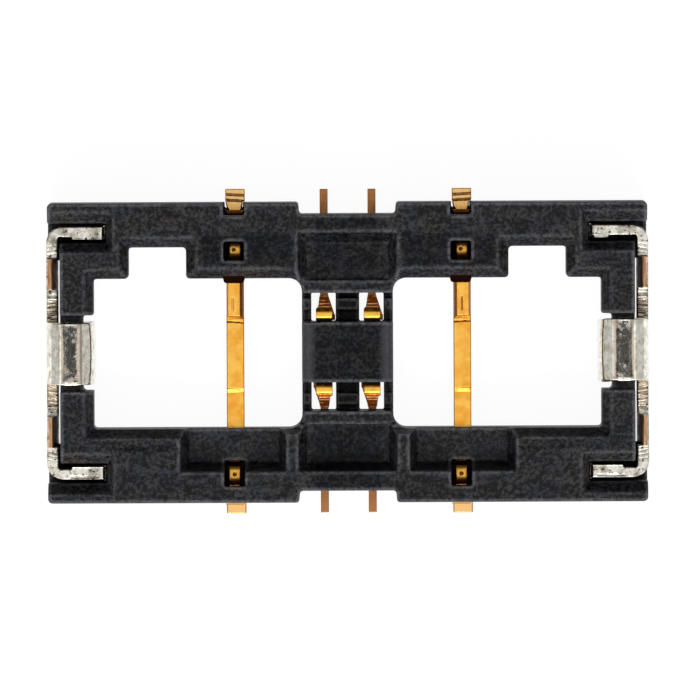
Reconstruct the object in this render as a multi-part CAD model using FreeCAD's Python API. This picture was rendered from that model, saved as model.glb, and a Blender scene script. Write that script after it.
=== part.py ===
import FreeCAD, Part
import math
import os
from FreeCAD import Vector

# Board-side half of a small battery connector, seen from its mating side.
# Millimetres. The origin is on the board, under the middle of the part.
# X runs along the moulding, Y across it, and Z away from the board.
# A value that ends in _x or _y is a distance from the middle of the part.

# Moulded housing, overall
body_length = 6.0
body_width = 3.0
body_height = 0.75
board_gap = 0.04
body_corner_radius = 0.045
waist_length = 0.96
waist_depth = 0.118
waist_slope = 0.01
waist_corner_radius = 0.03

# Lead-in slopes round everything that the plug enters
lead_in = 0.10
lead_in_depth = 0.12

# Tin-plated end brackets
arm_wall = 0.235
bracket_sheet = 0.105
bracket_proud = 0.01
bracket_arm = 0.57
bracket_corner_radius = 0.165
bracket_height = 0.60
arm_floor = 0.12
wrap_span = 0.478
wrap_width = 0.62
wrap_side_gap = 0.07
wrap_radius = 0.165
wrap_below_rim = 0.005
wrap_leg_bottom = 0.16
relief_length = 0.32
relief_depth = 0.09
tab_length = 0.32
tab_height = 0.02
tab_setback = 0.03
arm_barb_length = 0.28
arm_barb = 0.025
arm_barb_height = 0.58

# Clearances
metal_clearance = 0.006
wrap_clearance = 0.01
end_slit = 0.03
slit_arm_gap = 0.345
channel_inside_gap = 0.06
channel_outside_gap = 0.035
channel_end_gap = 0.03
channel_end_lead_in = 0.07
channel_outer_lead_in = 0.12

# End walls, side walls and windows
end_wall = 0.334
rear_wall = 0.758
front_wall = 0.742
window_radius = 0.035
window_inner_radius = 0.13
notch_end_gap = 0.352
notch_length = 0.577
notch_depth = 0.313
neck_drop = 0.03
end_block_length = 0.65
ledge_length = 0.65
pad_step = 0.012

# Central trough between the two power blocks
trough_floor = 0.54
trough_half_length = 0.41
trough_slope = 0.09
trough_rear_rim = 0.29
trough_rear_slope = 0.115
trough_front_rim = 0.31
trough_front_slope = 0.085
band_width = 0.1275
band_step = 0.03

# Island, grooves and through slots for the signal contacts
island_length = 0.912
island_width = 0.605
island_top = 0.60
island_bevel = 0.11
island_bevel_drop = 0.06
groove_width = 0.29
groove_floor = 0.12
groove_rib_gap = 0.115
groove_rib_width = 0.115
groove_rib_top = 0.30
slot_width = 0.244
slot_end_wall = 0.008

# Front recesses, beside which a narrow rib stays
recess_floor = 0.50
recess_length = 0.905
recess_front_rim = 0.31
recess_slope = 0.09
recess_near_slope = 0.075
rib_width = 0.115
rib_end_slope = 0.05

# Power contacts
power_x = 1.135
power_sheet = 0.10
power_width = 0.176
power_arch_width = 0.12
power_arch_slope = 0.02
power_foot_width = 0.17
power_foot_out = 0.124
power_foot_length = 0.13
power_bar_top = 0.44
power_web_rise = 0.17
power_arch_rise = 0.06
power_step_y = 0.375
power_step = 0.015
power_bend = 0.06
ridge_rise = 0.03
ridge_start_y = 0.305
ridge_run = 0.05
ridge_inner_slope = 0.035
ridge_outer_slope = 0.0125
rear_arch_length = 0.10
front_arch_length = 0.13
front_arch_shift = 0.033
arch_run = 0.05

# Core-pin holes over the power contacts, and the places where they leave
pin_hole_width = 0.205
rear_hole_inset = 0.48
rear_hole_length = 0.19
front_hole_inset = 0.2925
front_hole_length = 0.255
pin_hole_floor = 0.30
pin_hole_radius = 0.01
foot_notch_width = 0.21
foot_notch_depth = 0.13
foot_notch_floor = 0.11
collar_width = 0.21
collar_reach = 0.05
collar_top = 0.50
collar_radius = 0.03
light_gap_width = 0.02
light_gap_length = 0.06

# Signal contacts
signal_x = 0.24
signal_sheet = 0.06
signal_tail_out = 0.124
signal_tail_width = 0.081
signal_arm_outer = 0.115
signal_arm_inner = 0.075
signal_arm_inset = 0.03
signal_crest_width = 0.165
signal_tongue_width = 0.12
signal_tip_width = 0.085
signal_crest_top = 0.53
signal_crest_length = 0.07
signal_shoulder = 0.02
signal_tongue_run = 0.12
signal_tongue_drop = 0.22
signal_bend = 0.05

# How far a cutting solid runs past the face that it opens
overcut = 0.1

# Places that several pieces share
half_length = body_length / 2
half_width = body_width / 2
bracket_outer_x = half_length + bracket_proud
bracket_inner_x = bracket_outer_x - bracket_sheet
wall_outer_x = bracket_inner_x - end_slit
window_end_x = wall_outer_x - end_wall
leg_inner_x = bracket_outer_x - wrap_span
neck_inner_x = leg_inner_x + bracket_sheet + wrap_clearance
wrap_top = body_height - wrap_below_rim
arm_outer_y = half_width - arm_wall
arm_inner_y = arm_outer_y - bracket_sheet
arm_end_x = bracket_outer_x - bracket_arm
channel_inner_y = arm_inner_y - channel_inside_gap
channel_outer_y = arm_outer_y + channel_outside_gap
channel_end_x = arm_end_x - channel_end_gap
slit_half_length = arm_outer_y - slit_arm_gap
wrap_gap_half = wrap_width / 2 + wrap_side_gap
lead_in_z = body_height - lead_in_depth
window_rear_y = half_width - rear_wall
window_front_y = half_width - front_wall
notch_far_x = window_end_x - notch_end_gap
notch_near_x = notch_far_x - notch_length
pad_far_x = half_length - end_block_length
island_y = island_width / 2
groove_y = island_y + groove_width
band_y = groove_y + band_width
trough_rear_y = half_width - trough_rear_rim - trough_rear_slope
trough_front_y = half_width - trough_front_rim - trough_front_slope
recess_near_x = trough_half_length + trough_slope + rib_width + recess_near_slope
recess_far_x = recess_near_x + recess_length
recess_front_y = half_width - recess_front_rim - recess_slope
power_bar_z = power_bar_top - power_sheet / 2
power_reach = half_width + power_foot_out
signal_reach = half_width + signal_tail_out
rear_hole_y = half_width - rear_hole_inset
front_hole_y = half_width - front_hole_inset
front_arch_y = front_hole_y + front_arch_shift
corner_start_x = bracket_outer_x - bracket_corner_radius
above = body_height + overcut
below = -overcut


def flat(u, v, w):
    return Vector(u, v, w)


def across(u, v, w):
    return Vector(w, u, v)


def along(u, v, w):
    return Vector(u, w, v)


def outline(points, place=flat, level=0.0):
    """Closed wire through (u, v, corner radius) points; each radius is limited by its neighbours."""
    edges = []
    count = len(points)
    corners = []
    for i, (u, v, radius) in enumerate(points):
        here = Vector(u, v, 0)
        before = Vector(points[i - 1][0], points[i - 1][1], 0) - here
        after = Vector(points[(i + 1) % count][0], points[(i + 1) % count][1], 0) - here
        half = before.getAngle(after) / 2
        if radius <= 0 or math.pi / 2 - half < 0.01:
            corners.append([here])
            continue
        room = 0.49 * min(before.Length, after.Length)
        tangent = min(radius / math.tan(half), room)
        radius = tangent * math.tan(half)
        before.normalize()
        after.normalize()
        middle = (before + after).normalize()
        start = here + before * tangent
        end = here + after * tangent
        crown = here + middle * (radius / math.sin(half) - radius)
        corners.append([start, crown, end])
    for i, corner in enumerate(corners):
        put = [place(p.x, p.y, level) for p in corner]
        if len(put) == 3:
            edges.append(Part.Arc(*put).toShape())
        following = corners[(i + 1) % count][0]
        edges.append(Part.LineSegment(put[-1], place(following.x, following.y, level)).toShape())
    return Part.Wire(edges)


def prism(points, low, high, place=flat):
    """Solid with the given outline between two levels along the outline's normal."""
    face = Part.Face(outline(points, place, low))
    solid = face.extrude(place(0, 0, high - low))
    return solid


def funnel(low_points, low, high_points, high):
    """Solid whose sides slope straight from one outline to another with as many corners."""
    lower = outline(low_points, flat, low)
    upper = outline(high_points, flat, high)
    faces = [Part.Face(lower), Part.Face(upper)]
    for bottom, top in zip(lower.Edges, upper.Edges):
        if isinstance(bottom.Curve, Part.Line):
            ends = [edge.valueAt(at) for edge in (bottom, top) for at in edge.ParameterRange]
            corners = [ends[0], ends[1], ends[3], ends[2], ends[0]]
            faces.append(Part.Face(Part.makePolygon(corners)))
        else:
            faces.append(Part.makeRuledSurface(bottom, top))
    shell = Part.makeShell(faces)
    shell.sewShape()
    solid = Part.makeSolid(shell)
    if solid.Volume < 0:
        solid.reverse()
    return solid


def block(x0, x1, y0, y1, z0, z1):
    return Part.makeBox(x1 - x0, y1 - y0, z1 - z0, Vector(x0, y0, z0))


def rectangle(u0, u1, v0, v1, radius=0.0):
    return [(u0, v0, radius), (u1, v0, radius), (u1, v1, radius), (u0, v1, radius)]


def flipped(points, turn_u=-1, turn_v=1):
    return [(turn_u * p[0], turn_v * p[1], *p[2:]) for p in points]


def mirror_x(shape):
    return shape.mirror(Vector(0, 0, 0), Vector(1, 0, 0))


def mirror_y(shape):
    return shape.mirror(Vector(0, 0, 0), Vector(0, 1, 0))


def half_turn(shape):
    return shape.rotated(Vector(0, 0, 0), Vector(0, 0, 1), 180)


def both_ends(shape):
    return [shape, mirror_x(shape)]


def both_sides(shape):
    return [shape, mirror_y(shape)]


def bent_strip(path, thickness):
    """Outline of a bent strip round its middle line, given as (u, v, bend radius) points."""
    middle = [Vector(u, v, 0) for u, v, _ in path]
    left = []
    right = []
    for i, (u, v, radius) in enumerate(path):
        ahead = middle[min(i + 1, len(path) - 1)] - middle[min(i, len(path) - 2)]
        behind = middle[max(i, 1)] - middle[max(i - 1, 0)]
        ahead.normalize()
        behind.normalize()
        side = Vector(-ahead.y - behind.y, ahead.x + behind.x, 0).normalize()
        reach = thickness / 2 / side.dot(Vector(-ahead.y, ahead.x, 0))
        turn = behind.x * ahead.y - behind.y * ahead.x
        inward = max(radius - thickness / 2, 0.0)
        outward = radius + thickness / 2 if radius > 0 else 0.0
        a = middle[i] + side * reach
        b = middle[i] - side * reach
        left.append((a.x, a.y, inward if turn > 0 else outward))
        right.append((b.x, b.y, outward if turn > 0 else inward))
    return left + right[::-1]


def joined(shapes):
    return shapes[0].multiFuse(shapes[1:]).removeSplitter()


def power_path(extra):
    """Middle line of a power contact from its rear foot to its front foot, as (y, z, bend)."""
    foot = power_sheet / 2
    web = foot + power_web_rise
    arch = power_bar_z + power_arch_rise
    low_bar = power_bar_z - power_step
    rear = rear_hole_y + rear_arch_length / 2
    front = front_arch_y + front_arch_length / 2
    foot_y = power_reach - power_foot_length
    return [
        (power_reach + extra, foot, 0),
        (foot_y, foot, power_bend),
        (foot_y - arch_run, web, power_bend),
        (rear + 2 * arch_run, web, power_bend),
        (rear, arch, power_bend),
        (rear - rear_arch_length, arch, power_bend),
        (rear - rear_arch_length - arch_run, power_bar_z, power_bend),
        (-power_step_y, power_bar_z, power_bend),
        (-power_step_y - 2 * power_step, low_bar, power_bend),
        (front_arch_length - front + arch_run, low_bar, power_bend),
        (front_arch_length - front, arch, power_bend),
        (-front, arch, power_bend),
        (-foot_y + arch_run, web, power_bend),
        (-foot_y, foot, power_bend),
        (-power_reach - extra, foot, 0),
    ]


def power_outline(margin):
    """Plan of a power contact: a bar with feet, narrower where it stands in the core-pin holes."""
    bar = power_width / 2 + margin
    arch = power_arch_width / 2 + margin
    foot = power_foot_width / 2 + margin
    far = power_reach + overcut
    rear_start = rear_hole_y - rear_hole_length / 2
    rear_end = rear_hole_y + rear_hole_length / 2
    front_start = front_hole_y - front_hole_length / 2
    front_end = front_hole_y + front_hole_length / 2
    half = [
        (foot, far), (foot, half_width), (bar, rear_end + power_arch_slope),
        (arch, rear_end), (arch, rear_start), (bar, rear_start - power_arch_slope),
        (bar, power_arch_slope - front_start), (arch, -front_start), (arch, -front_end),
        (foot, -half_width), (foot, -far),
    ]
    return [(power_x + u, v, 0) for u, v in half + flipped(half)[::-1]]


def power_blank(margin):
    strip = prism(bent_strip(power_path(margin), power_sheet + 2 * margin), 0, 2 * power_x, across)
    return strip.common(prism(power_outline(margin), below, above))


def ridge(margin):
    """Raised, narrower stretch of a power contact on the rear side of its window."""
    low = power_bar_top - power_sheet / 2
    high = power_bar_top + ridge_rise + margin
    half = power_width / 2 + margin
    end = window_rear_y + 2 * collar_reach + margin
    foot = rectangle(power_x - half, power_x + half, ridge_start_y, end)
    crown = rectangle(
        power_x - half + ridge_inner_slope, power_x + half - ridge_outer_slope,
        ridge_start_y + ridge_run, end,
    )
    return funnel(foot, low, crown, high)


def power_contact():
    return joined([power_blank(0.0), ridge(0.0)])


def signal_path():
    """Middle line of a rear signal contact, from its tail to the tip of its tongue."""
    low = signal_sheet / 2
    high = signal_crest_top - signal_sheet / 2
    leg = island_y + metal_clearance + signal_sheet / 2
    crest = leg + signal_crest_length
    return [
        (signal_reach, low, 0),
        (leg, low, signal_bend),
        (leg, high, signal_bend),
        (crest, high, signal_bend),
        (crest + signal_tongue_run, high - signal_tongue_drop, 0),
    ]


def signal_arm_outline():
    """Plan of the lower arm: a narrow tail that widens towards the island, more on one side."""
    tail = signal_tail_width / 2
    leg = island_y + metal_clearance + signal_sheet
    start = groove_y - signal_arm_inset
    far = signal_reach + overcut
    points = [
        (tail, far), (tail, start), (signal_arm_outer, leg), (signal_arm_outer, 0.0),
        (-signal_arm_inner, 0.0), (-signal_arm_inner, leg), (-tail, start), (-tail, far),
    ]
    return [(signal_x + u, v, 0) for u, v in points]


def signal_tongue_outline():
    """Plan of the crest and of the tongue that hangs from it."""
    neck = island_y + metal_clearance + signal_sheet + signal_crest_length
    crest = signal_crest_width / 2
    tongue = signal_tongue_width / 2
    tip = signal_tip_width / 2
    half = [(crest, 0.0), (crest, neck - signal_shoulder), (tongue, neck), (tip, groove_y)]
    return [(signal_x + u, v, 0) for u, v in half + flipped(half)[::-1]]


def signal_contact():
    """Rear right signal contact: tail, lower arm, upright leg, crest and free tongue."""
    strip = prism(bent_strip(signal_path(), signal_sheet), 0, 2 * signal_x, across)
    split = 2 * signal_sheet
    arm = strip.common(prism(signal_arm_outline(), below, split))
    tongue = strip.common(prism(signal_tongue_outline(), split, above))
    return joined([arm, tongue])


def signal_channel():
    """Space of a tail in the underside of the wall."""
    half = signal_tail_width / 2 + metal_clearance
    top = signal_sheet + metal_clearance
    return block(signal_x - half, signal_x + half, island_y, half_width + overcut, below, top)


def bracket_plan(inside, outside, arm_end):
    """Plan of the right bracket's run and arms: a sheet bent into a C, grown on either face."""
    run_out = bracket_outer_x + outside
    run_in = bracket_inner_x - inside
    top_out = arm_outer_y + outside
    top_in = arm_inner_y - inside
    radius = bracket_corner_radius + outside
    inner = bracket_corner_radius - bracket_sheet - inside
    upper = [(arm_end, top_in, 0), (arm_end, top_out, 0), (run_out, top_out, radius)]
    lower = flipped(upper, 1, -1)[::-1]
    return upper + lower + [(run_in, -top_in, inner), (run_in, top_in, inner)]


def wrap_profile():
    """Section of the wrap: an upside-down U over the end wall."""
    leg = leg_inner_x + bracket_sheet / 2
    run = bracket_outer_x - bracket_sheet / 2
    crown = wrap_top - bracket_sheet / 2
    bend = wrap_radius - bracket_sheet / 2
    low = bracket_height / 2
    return bent_strip(
        [(leg, wrap_leg_bottom, 0), (leg, crown, bend), (run, crown, bend), (run, low, 0)],
        bracket_sheet,
    )


def end_bracket():
    """Right bracket: run and arms on edge, with the wrap formed over the end wall."""
    shell = prism(bracket_plan(0.0, 0.0, arm_end_x), 0, bracket_height)
    start = wrap_width / 2
    relief = block(
        bracket_inner_x - overcut, bracket_outer_x + overcut,
        start, start + relief_length, bracket_height - relief_depth, above,
    )
    under_arm = block(0, half_length + overcut, slit_half_length, half_width, below, arm_floor + metal_clearance)
    shell = shell.cut(both_sides(relief) + both_sides(under_arm))
    tab = block(
        bracket_inner_x + tab_setback, bracket_outer_x,
        start + relief_length, start + relief_length + tab_length,
        bracket_height / 2, bracket_height + tab_height,
    )
    barb = block(
        arm_end_x, arm_end_x + arm_barb_length,
        arm_inner_y - arm_barb, arm_inner_y + bracket_sheet / 2,
        arm_floor + metal_clearance, arm_barb_height,
    )
    wrap = prism(wrap_profile(), -wrap_width / 2, wrap_width / 2, along)
    return joined([shell, wrap] + both_sides(tab) + both_sides(barb))


def body_outline():
    """Outer edge of the moulding, with a shallow waist in both long sides."""
    side = waist_length / 2
    waist = half_width - waist_depth
    quarter = [
        (side, waist, waist_corner_radius),
        (side + waist_slope, half_width, waist_corner_radius),
        (half_length, half_width, body_corner_radius),
    ]
    right = quarter + flipped(quarter, 1, -1)[::-1]
    return right + flipped(right)[::-1]


def window_outline(grow, radius, inner_radius):
    """Right window with the polarising notch in its rear side, grown by a margin."""
    end = window_end_x + grow
    rear = window_rear_y + grow
    front = -window_front_y - grow
    inner = island_length / 2
    notch = window_rear_y + notch_depth + grow
    return [
        (inner, front, inner_radius),
        (end, front, radius),
        (end, rear, radius),
        (notch_far_x + grow, rear, radius),
        (notch_far_x + grow, notch, radius),
        (notch_near_x - grow, notch, radius),
        (notch_near_x - grow, rear, radius),
        (inner, rear, inner_radius),
    ]


def window():
    """Everything that is open from top to bottom in the right half, with its lead-in."""
    hole = prism(window_outline(0.0, window_radius, window_inner_radius), below, above)
    leg_gap = prism(
        rectangle(window_end_x - overcut, neck_inner_x, -wrap_gap_half, wrap_gap_half, window_radius),
        below, above,
    )
    slope = funnel(
        window_outline(0.0, window_radius, window_inner_radius), lead_in_z,
        window_outline(lead_in, window_radius / 2, window_inner_radius), body_height,
    )
    rib_guard = block(0, recess_far_x - overcut, -half_width, 0, below, above)
    return [hole, leg_gap, slope.cut(rib_guard)]


def recess():
    """Front recess of the right half: a floor open to the window, with sloping sides."""
    near = recess_near_x - recess_near_slope
    far = recess_far_x + recess_slope
    open_y = overcut - window_front_y
    low = rectangle(recess_near_x, recess_far_x, -recess_front_y, open_y)
    high = rectangle(near, far, -recess_front_y - recess_slope, open_y)
    return funnel(low, recess_floor, high, body_height)


def rib_end():
    """Slope at the window end of the narrow rib beside the recess."""
    side = window_front_y
    drop = 2 * rib_end_slope
    points = [(-side, body_height - drop, 0), (-side - rib_end_slope, body_height, 0), (0, body_height, 0)]
    return prism(points, 0, recess_near_x, across)


def trough():
    """Lowered middle between the power blocks: two floors, with a band next to the grooves."""
    low = rectangle(-trough_half_length, trough_half_length, -trough_front_y, trough_rear_y)
    side = trough_half_length + trough_slope
    high = rectangle(-side, side, -trough_front_y - trough_front_slope, trough_rear_y + trough_rear_slope)
    hollow = funnel(low, trough_floor, high, body_height)
    band = block(-half_length, half_length, -band_y, band_y, trough_floor - overcut, trough_floor + band_step)
    end = island_length / 2 + overcut
    middle = block(-end, end, -band_y, band_y, trough_floor + band_step, above)
    return [hollow.cut(band), middle]


def groove():
    """Rear groove beside the island, with a low rib along its middle."""
    half = island_length / 2 + overcut
    cut = block(-half, half, island_y, groove_y, groove_floor, above)
    start = island_y + groove_rib_gap
    rib = block(-half, half, start, start + groove_rib_width, below, groove_rib_top)
    return cut.cut(rib)


def slot():
    """Through slot for the rear right signal contact."""
    half = slot_width / 2
    points = rectangle(signal_x - half, signal_x + half, island_y, groove_y - slot_end_wall)
    return prism(points, below, above)


def island_bevel_cut():
    """Gentle slope on the right end of the island."""
    end = island_length / 2
    points = [
        (end - island_bevel, island_top, 0),
        (end, island_top - island_bevel_drop, 0),
        (end + overcut, island_top - island_bevel_drop, 0),
        (end + overcut, above, 0),
        (end - island_bevel, above, 0),
    ]
    return prism(points, -island_y, island_y, along)


def arm_channel():
    """Rear right channel for a bracket arm, with a lead-in on three sides."""
    out = half_length + overcut
    low = rectangle(channel_end_x, out, channel_inner_y, channel_outer_y)
    high = rectangle(
        channel_end_x - channel_end_lead_in, out,
        channel_inner_y - lead_in, channel_outer_y + channel_outer_lead_in,
    )
    slope = funnel(low, lead_in_z, high, body_height)
    return joined([prism(low, arm_floor, above), slope])


def end_bay():
    """Space of the right bracket's run and corners, open to the board only along the slit."""
    arm_start = corner_start_x - bracket_corner_radius / 2
    grown = prism(bracket_plan(metal_clearance, metal_clearance, arm_start), arm_floor, above)
    out = half_length + overcut
    outside = block(bracket_inner_x, out, -channel_inner_y, channel_inner_y, arm_floor, above)
    slit = block(wall_outer_x, out, -slit_half_length, slit_half_length, below, above)
    open_top = block(wall_outer_x, out, -channel_outer_y, channel_outer_y, arm_floor, above)
    return [grown, outside, slit, open_top]


def neck_cut():
    """Lowers the end wall under the wrap."""
    top = wrap_top - bracket_sheet - neck_drop
    corner = wrap_radius - bracket_sheet
    points = [
        (leg_inner_x, top, 0), (wall_outer_x - corner, top, 0), (wall_outer_x, top - corner, 0),
        (half_length, top - corner, 0), (half_length, above, 0), (leg_inner_x, above, 0),
    ]
    return prism(points, -wrap_gap_half, wrap_gap_half, along)


def pad_levels():
    """Slightly lower top of the right end blocks, which leaves a pad standing between them."""
    low = body_height - pad_step
    end = block(pad_far_x, half_length, -half_width, half_width, low, above)
    step_y = window_front_y + 2 * lead_in
    ledge = block(pad_far_x - ledge_length, pad_far_x, -step_y, -window_front_y, low, above)
    return [end, ledge]


def pin_holes():
    """Rear and front holes of the core pins that held the right power contact in the mould."""
    half = pin_hole_width / 2
    rear = rear_hole_y - rear_hole_length / 2
    front = -front_hole_y - front_hole_length / 2
    return [
        prism(
            rectangle(power_x - half, power_x + half, start, start + size, pin_hole_radius),
            pin_hole_floor, above,
        )
        for start, size in ((rear, rear_hole_length), (front, front_hole_length))
    ]


def foot_notch():
    half = foot_notch_width / 2
    return block(
        power_x - half, power_x + half,
        half_width - foot_notch_depth, half_width + overcut, foot_notch_floor, above,
    )


def collar():
    """Plastic that bulges round the power contact where it enters the window."""
    half = collar_width / 2
    start = window_rear_y - collar_reach
    end = window_rear_y + overcut
    points = rectangle(power_x - half, power_x + half, start, end, collar_radius)
    return prism(points, board_gap, collar_top)


def light_gap():
    """Sliver beside the left front hole where the moulding did not close."""
    far = power_x + pin_hole_width / 2
    start = -front_hole_y - front_hole_length / 2 + pin_hole_radius
    return block(-far, light_gap_width - far, start, start + light_gap_length, below, above)


def housing():
    """Black moulding with windows, trough, island, grooves, recesses and bracket channels."""
    shape = prism(body_outline(), board_gap, body_height)
    cuts = trough() + both_sides(groove())
    cuts.append(block(-island_length / 2, island_length / 2, -island_y, island_y, island_top, above))
    half = window() + [recess(), rib_end(), island_bevel_cut(), neck_cut(), foot_notch()]
    half += both_sides(slot()) + both_sides(arm_channel()) + end_bay() + pad_levels() + pin_holes()
    for piece in half:
        cuts += both_ends(piece)
    shape = shape.cut(cuts)
    shape = shape.multiFuse(both_ends(collar()))
    metal = [power_blank(metal_clearance), ridge(metal_clearance)] + both_sides(signal_channel())
    shape = shape.cut([end for piece in metal for end in both_ends(piece)] + [light_gap()])
    return shape.removeSplitter()


def save(name, shape):
    if len(shape.Solids) != 1 or not shape.isValid():
        raise ValueError(f"{name} isn't one valid solid")
    shape.Solids[0].exportStep(f"parts/{name}.step")


os.makedirs("parts", exist_ok=True)
save("housing", housing())
right_bracket = end_bracket()
save("end_bracket_right", right_bracket)
save("end_bracket_left", mirror_x(right_bracket))
right_power = power_contact()
save("power_contact_right", right_power)
save("power_contact_left", mirror_x(right_power))
rear_right = signal_contact()
rear_left = rear_right.translated(Vector(-2 * signal_x, 0, 0))
for rear, side, front_side in ((rear_right, "right", "left"), (rear_left, "left", "right")):
    save(f"signal_contact_rear_{side}", rear)
    save(f"signal_contact_front_{front_side}", half_turn(rear))
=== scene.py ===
import math

import bmesh
import bpy
import numpy as np
from mathutils import Matrix, Quaternion, Vector


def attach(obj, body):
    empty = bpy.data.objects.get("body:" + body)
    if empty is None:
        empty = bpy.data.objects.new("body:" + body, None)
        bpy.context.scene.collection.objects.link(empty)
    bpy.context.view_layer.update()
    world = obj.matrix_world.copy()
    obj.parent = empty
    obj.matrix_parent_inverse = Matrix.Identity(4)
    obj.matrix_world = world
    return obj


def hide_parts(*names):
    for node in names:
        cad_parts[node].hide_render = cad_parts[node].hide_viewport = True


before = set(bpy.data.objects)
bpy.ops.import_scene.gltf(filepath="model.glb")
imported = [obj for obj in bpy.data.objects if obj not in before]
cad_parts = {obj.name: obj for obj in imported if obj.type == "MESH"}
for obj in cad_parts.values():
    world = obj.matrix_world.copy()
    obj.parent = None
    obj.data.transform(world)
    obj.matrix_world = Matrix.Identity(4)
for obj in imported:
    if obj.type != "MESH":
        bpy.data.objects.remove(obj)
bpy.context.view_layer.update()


# Housing: the black frame that carries every contact. It is one injection moulding in glass-filled
# liquid crystal polymer, so all its edges are slightly round. Its mesh is the frame's own, remeshed
# with a fine voxel, smoothed along its rims, and thinned out where it is flat.
MM = 0.001
MOULDED_EDGE = 0.009 * MM
RIM_HEIGHT = 0.50
RIM_PASSES = 7
HOUSING_TRIANGLES = 190000
LIP_X = (2.0, 0.34)
LIP_Y = (0.955, 0.03)
LIP_TOP = (0.738, 0.75)
LIP_ABOVE = 0.73
SPRING_POCKET = (0.47, 0.60, 0.57)


def linear(colour):
    """Scene-linear RGBA of an sRGB hex colour."""
    parts = [int(colour[i:i + 2], 16) / 255 for i in (1, 3, 5)]
    return [p / 12.92 if p <= 0.04045 else ((p + 0.055) / 1.055) ** 2.4 for p in parts] + [1.0]


def add(material, kind, sockets, **settings):
    """Adds a shader node, applies its settings, and sets or links its input sockets."""
    node = material.node_tree.nodes.new(kind)
    for name, value in settings.items():
        setattr(node, name, value)
    for name, value in sockets.items():
        if isinstance(value, bpy.types.NodeSocket):
            material.node_tree.links.new(value, node.inputs[name])
        else:
            node.inputs[name].default_value = value
    return node


def start_material(name):
    """Empty node material and its output node."""
    material = bpy.data.materials.new(name)
    material.use_nodes = True
    material.node_tree.nodes.clear()
    return material, material.node_tree.nodes.new("ShaderNodeOutputMaterial")


def new_piece(name, mesh, material):
    """Object in the scene with one material, smooth shaded, that rides on the part's only body."""
    piece = bpy.data.objects.new(name, mesh)
    bpy.context.scene.collection.objects.link(piece)
    mesh.materials.clear()
    mesh.materials.append(material)
    mesh.shade_smooth()
    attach(piece, "root")
    return piece


def evaluated(blank):
    """New mesh of an object with its modifiers applied. The object is removed."""
    depsgraph = bpy.context.evaluated_depsgraph_get()
    mesh = bpy.data.meshes.new_from_object(blank.evaluated_get(depsgraph))
    bpy.data.objects.remove(blank)
    return mesh


def moulded_mesh(node_name, edge, rim_height, passes, triangles):
    """The frame's own mesh with its edges rounded, the rims most of all, and the front lip eased."""
    build = bmesh.new()
    build.from_mesh(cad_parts[node_name].data)
    bmesh.ops.remove_doubles(build, verts=build.verts, dist=edge / 50)
    bmesh.ops.scale(build, vec=(1 / MM,) * 3, verts=build.verts)
    mesh = bpy.data.meshes.new(node_name)
    build.to_mesh(mesh)
    build.free()
    blank = bpy.data.objects.new(node_name, mesh)
    bpy.context.scene.collection.objects.link(blank)
    remesh = blank.modifiers.new("edges", "REMESH")
    remesh.mode = "VOXEL"
    remesh.voxel_size = edge / MM
    dense = evaluated(blank)
    blank = bpy.data.objects.new(node_name, dense)
    bpy.context.scene.collection.objects.link(blank)
    spots = np.empty(len(dense.vertices) * 3, dtype=np.float32)
    dense.vertices.foreach_get("co", spots)
    x, y, z = spots.reshape(-1, 3).T
    lip = np.abs(np.abs(x) - LIP_X[0]) < LIP_X[1]
    lip &= (np.abs(y + LIP_Y[0]) < LIP_Y[1]) & (z > LIP_ABOVE)
    rise = (LIP_Y[0] + LIP_Y[1] + y[lip]) / (2 * LIP_Y[1])
    z[lip] = LIP_TOP[1] + (LIP_TOP[0] - LIP_TOP[1]) * rise * rise * (3 - 2 * rise)
    dense.vertices.foreach_set("co", spots)
    pocket = (np.abs(x) < SPRING_POCKET[0]) & (np.abs(y) < SPRING_POCKET[1]) & (z < SPRING_POCKET[2])
    rims = blank.vertex_groups.new(name="rims")
    rims.add(np.nonzero((z > rim_height) & ~pocket)[0].tolist(), 1.0, "REPLACE")
    soften = blank.modifiers.new("rims", "SMOOTH")
    soften.factor = 0.5
    soften.iterations = passes
    soften.vertex_group = "rims"
    thin = blank.modifiers.new("thin", "DECIMATE")
    thin.ratio = triangles / (2 * len(dense.polygons))
    level = blank.modifiers.new("level flats", "WEIGHTED_NORMAL")
    level.mode = "FACE_AREA"
    result = evaluated(blank)
    result.transform(Matrix.Scale(MM, 4))
    return result


# Black LCP, moulded: near-black, satin, specked with glass fibre ends (drawn 0.035 mm wide, coarser
# than real), with painted highlights along its edges. Painted shade darkens the lower middle and the
# rear pads, darkest at the collars round the bars; painted light brightens the island's flanks.
LCP_DARK = "#030304"
LCP_COLD = "#363841"
LCP_WARM = "#3f3c3a"
LCP_EDGE_HIGHLIGHT = "#6a6b70"
LCP_FLANK_LIGHT = "#434346"
LCP_SUNK_SHADE = "#03050c"
LCP_COLLAR_SHADE = "#1e0c06"
FIBRE = 0.035 * MM
FLOW = (0.30 * MM, 0.12 * MM, 0.12 * MM)
CAST = 0.24 * MM
MIDDLE_SHADE_X = 0.37 * MM
LEDGE_Y = (0.65 * MM, 0.075 * MM)
PAD_SHADE_X = (0.54 * MM, 1.50 * MM)
PAD_SHADE_Y = (0.86 * MM, 1.22 * MM)
SUNK_SHADE_SHARE = 0.42
FLANK_X = (0.31 * MM, 0.37 * MM, 0.46 * MM)
FLANK_Y = 0.29 * MM
FLANK_LIGHT_SHARE = 0.7
EDGE_HIGHLIGHT_DEPTH = 0.042 * MM
POWER_X = 1.135 * MM
COLLAR_SHADE_HALF_X = 0.106 * MM
COLLAR_SHADE_Y = (0.727 * MM, 0.041 * MM)
lcp, lcp_out = start_material("black glass-filled LCP, moulded")
place = add(lcp, "ShaderNodeTexCoord", {})
grain = add(lcp, "ShaderNodeTexNoise", {
    "Vector": place.outputs["Object"], "Scale": 1 / FIBRE, "Detail": 3.0, "Roughness": 0.65})
drawn = add(lcp, "ShaderNodeMapping", {
    "Vector": place.outputs["Object"], "Scale": [1 / size for size in FLOW]})
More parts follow.
